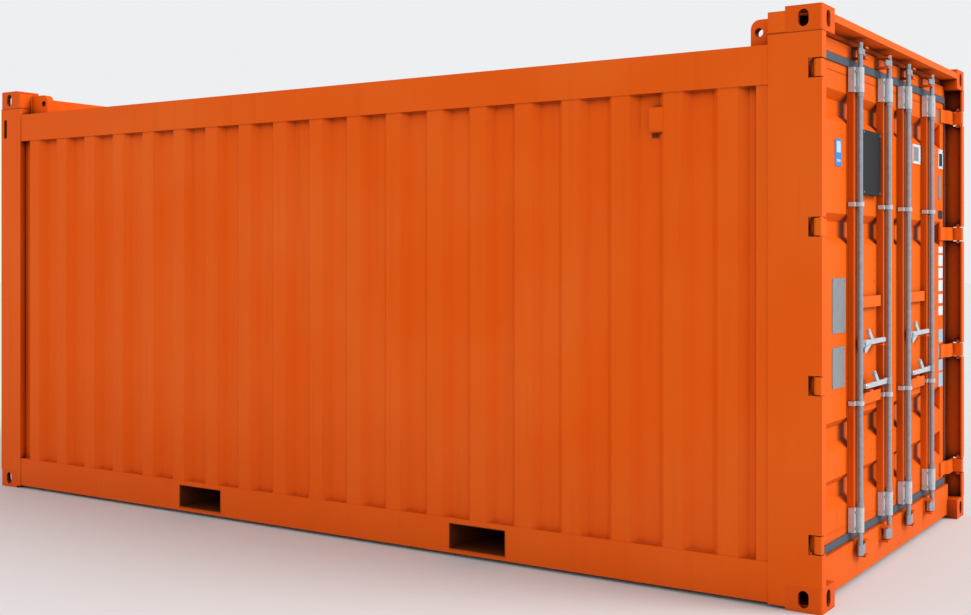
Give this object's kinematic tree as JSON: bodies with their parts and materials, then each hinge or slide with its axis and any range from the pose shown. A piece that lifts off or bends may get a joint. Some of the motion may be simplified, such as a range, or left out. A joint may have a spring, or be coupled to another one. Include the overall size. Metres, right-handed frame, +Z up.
{
  "type": "offshore cargo container",
  "caption": "Orange steel offshore container with corrugated walls, corner castings, pad eyes, fork pockets and hinged end doors held by turning lock bars.",
  "frame": {"origin": "on the ground under the middle of the container", "axes": "+X towards the door end, -Y towards the side that the picture shows, +Z up"},
  "size_m": [6.058, 2.438, 2.743],
  "materials": {
    "orange_paint": "semi-gloss paint on steel",
    "casting_paint": "semi-gloss paint on cast steel",
    "galvanised_steel": "hot-dip galvanised",
    "gasket_rubber": "matt black-grey rubber",
    "floor_plywood": "worn plywood boards"
  },
  "bodies": {
    "frame": {"bottom_castings": "casting_paint", "top_castings": "casting_paint", "door_posts": "orange_paint", "rear_posts": "orange_paint", "top_rails": "orange_paint", "bottom_rails": "orange_paint", "fork_tunnels": "orange_paint", "left_wall": "orange_paint", "right_wall": "orange_paint", "rear_wall": "orange_paint", "roof_panel": "orange_paint", "door_header": "orange_paint", "door_sill": "orange_paint", "rear_header": "orange_paint", "rear_sill": "orange_paint", "floor_boards": "floor_plywood", "floor_bearers": "orange_paint", "pad_eyes": "orange_paint", "wall_vents": "orange_paint", "hinge_lugs": "orange_paint", "bottom_keepers": "orange_paint", "top_keepers": "orange_paint"},
    "left_door": {"left_door_frame": "orange_paint", "left_door_panel": "orange_paint", "left_door_ribs": "orange_paint", "left_door_gasket": "gasket_rubber", "left_hinge_blades": "orange_paint", "left_bar_guides": "galvanised_steel", "left_handle_catches": "orange_paint"},
    "right_door": {"right_door_frame": "orange_paint", "right_door_panel": "orange_paint", "right_door_ribs": "orange_paint", "right_door_gasket": "gasket_rubber", "right_hinge_blades": "orange_paint", "right_bar_guides": "galvanised_steel", "right_handle_catches": "orange_paint"},
    "bar_1": {"lock_bar_1": "galvanised_steel"},
    "lever_1": {"handle_1": "galvanised_steel"},
    "bar_2": {"lock_bar_2": "galvanised_steel"},
    "lever_2": {"handle_2": "galvanised_steel"},
    "bar_3": {"lock_bar_3": "galvanised_steel"},
    "lever_3": {"handle_3": "galvanised_steel"},
    "bar_4": {"lock_bar_4": "galvanised_steel"},
    "lever_4": {"handle_4": "galvanised_steel"}
  },
  "joints": [
    {"name": "left_door_hinge", "type": "hinge", "parent": "frame", "child": "left_door", "pos_m": [2.999, -1.195, 1.3825], "axis": [0, 0, -1], "range_deg": [0, 260]},
    {"name": "right_door_hinge", "type": "hinge", "parent": "frame", "child": "right_door", "pos_m": [2.999, 1.195, 1.3825], "axis": [0, 0, 1], "range_deg": [0, 260]},
    {"name": "bar_1_turn", "type": "hinge", "parent": "left_door", "child": "bar_1", "pos_m": [2.999, -0.62, 1.3825], "axis": [0, 0, 1], "range_deg": [-90, 0]},
    {"name": "handle_1_lift", "type": "hinge", "parent": "bar_1", "child": "lever_1", "pos_m": [2.999, -0.584, 1.17602], "axis": [1, 0, 0], "range_deg": [0, 20]},
    {"name": "bar_2_turn", "type": "hinge", "parent": "left_door", "child": "bar_2", "pos_m": [2.999, -0.17, 1.3825], "axis": [0, 0, -1], "range_deg": [-90, 0]},
    {"name": "handle_2_lift", "type": "hinge", "parent": "bar_2", "child": "lever_2", "pos_m": [2.999, -0.206, 0.95837], "axis": [-1, 0, 0], "range_deg": [0, 20]},
    {"name": "bar_3_turn", "type": "hinge", "parent": "right_door", "child": "bar_3", "pos_m": [2.999, 0.17, 1.3825], "axis": [0, 0, 1], "range_deg": [-90, 0]},
    {"name": "handle_3_lift", "type": "hinge", "parent": "bar_3", "child": "lever_3", "pos_m": [2.999, 0.206, 1.17602], "axis": [1, 0, 0], "range_deg": [0, 20]},
    {"name": "bar_4_turn", "type": "hinge", "parent": "right_door", "child": "bar_4", "pos_m": [2.999, 0.62, 1.3825], "axis": [0, 0, -1], "range_deg": [-90, 0]},
    {"name": "handle_4_lift", "type": "hinge", "parent": "bar_4", "child": "lever_4", "pos_m": [2.999, 0.584, 0.95837], "axis": [-1, 0, 0], "range_deg": [0, 20]}
  ]
}
